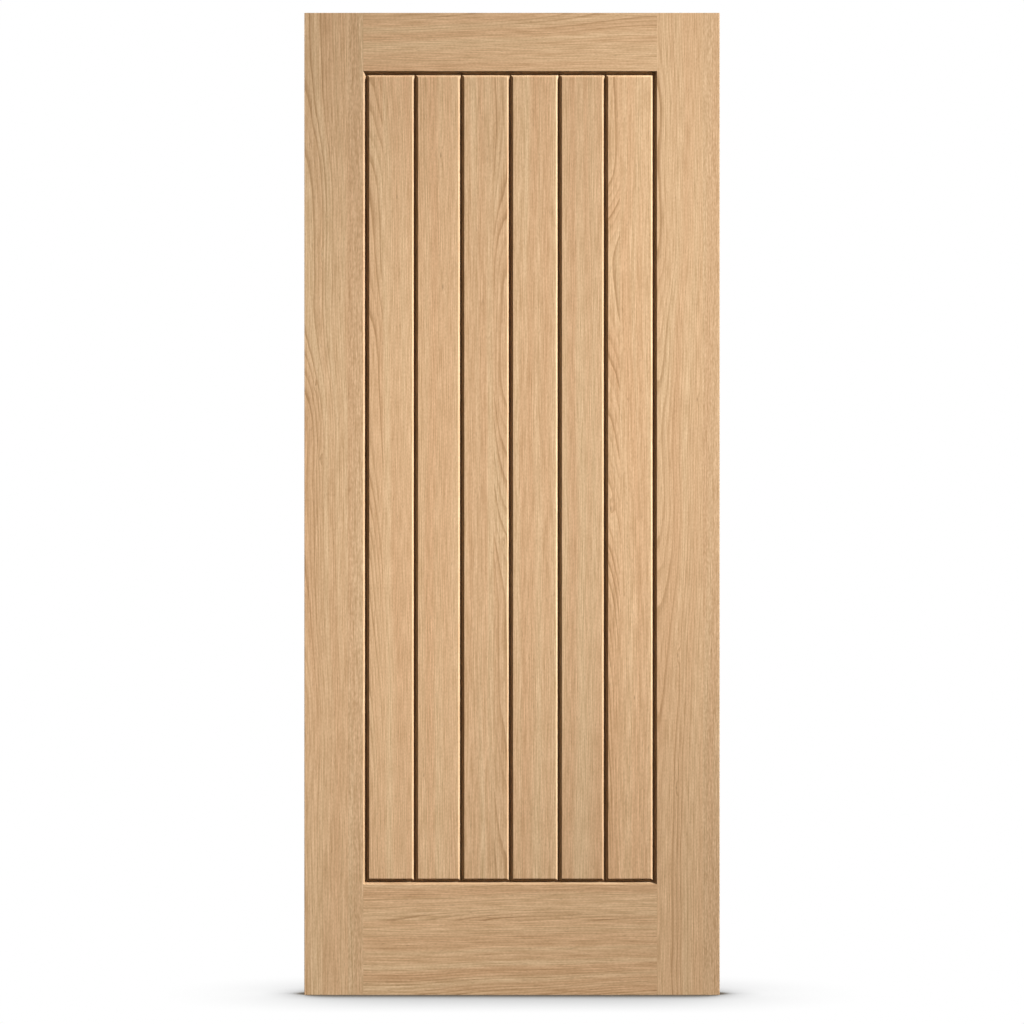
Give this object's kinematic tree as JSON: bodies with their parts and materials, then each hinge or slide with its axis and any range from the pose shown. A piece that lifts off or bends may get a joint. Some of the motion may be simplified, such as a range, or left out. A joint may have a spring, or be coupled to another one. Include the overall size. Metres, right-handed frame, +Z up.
{
  "type": "fire door leaf",
  "caption": "Oak-faced fire door leaf: stiles and rails frame a flush panel of V-jointed upright boards on both faces, over a solid core.",
  "frame": {"origin": "middle of the bottom edge, half way through the thickness", "axes": "+Z up the leaf, +X to the right seen from the front, the front face looks along -Y"},
  "size_m": [0.838, 0.044, 1.981],
  "materials": {
    "oak_veneer": "sanded, unfinished",
    "oak_board": "sanded, unfinished",
    "oak_lipping": "sanded, unfinished",
    "softwood_core": "sawn",
    "core_board": "pressed board"
  },
  "bodies": {
    "root": {"left_outer_lipping": "oak_lipping", "left_stile_core": "softwood_core", "left_inner_lipping": "oak_lipping", "left_stile_front_veneer": "oak_veneer", "left_stile_back_veneer": "oak_veneer", "right_outer_lipping": "oak_lipping", "right_stile_core": "softwood_core", "right_inner_lipping": "oak_lipping", "right_stile_front_veneer": "oak_veneer", "right_stile_back_veneer": "oak_veneer", "top_rail_core": "softwood_core", "top_inner_lipping": "oak_lipping", "top_rail_front_veneer": "oak_veneer", "top_rail_back_veneer": "oak_veneer", "bottom_rail_core": "softwood_core", "bottom_inner_lipping": "oak_lipping", "bottom_rail_front_veneer": "oak_veneer", "bottom_rail_back_veneer": "oak_veneer", "panel_core": "core_board", "front_board_1": "oak_board", "front_board_2": "oak_board", "front_board_3": "oak_board", "front_board_4": "oak_board", "front_board_5": "oak_board", "front_board_6": "oak_board", "back_board_1": "oak_board", "back_board_2": "oak_board", "back_board_3": "oak_board", "back_board_4": "oak_board", "back_board_5": "oak_board", "back_board_6": "oak_board"}
  },
  "joints": []
}
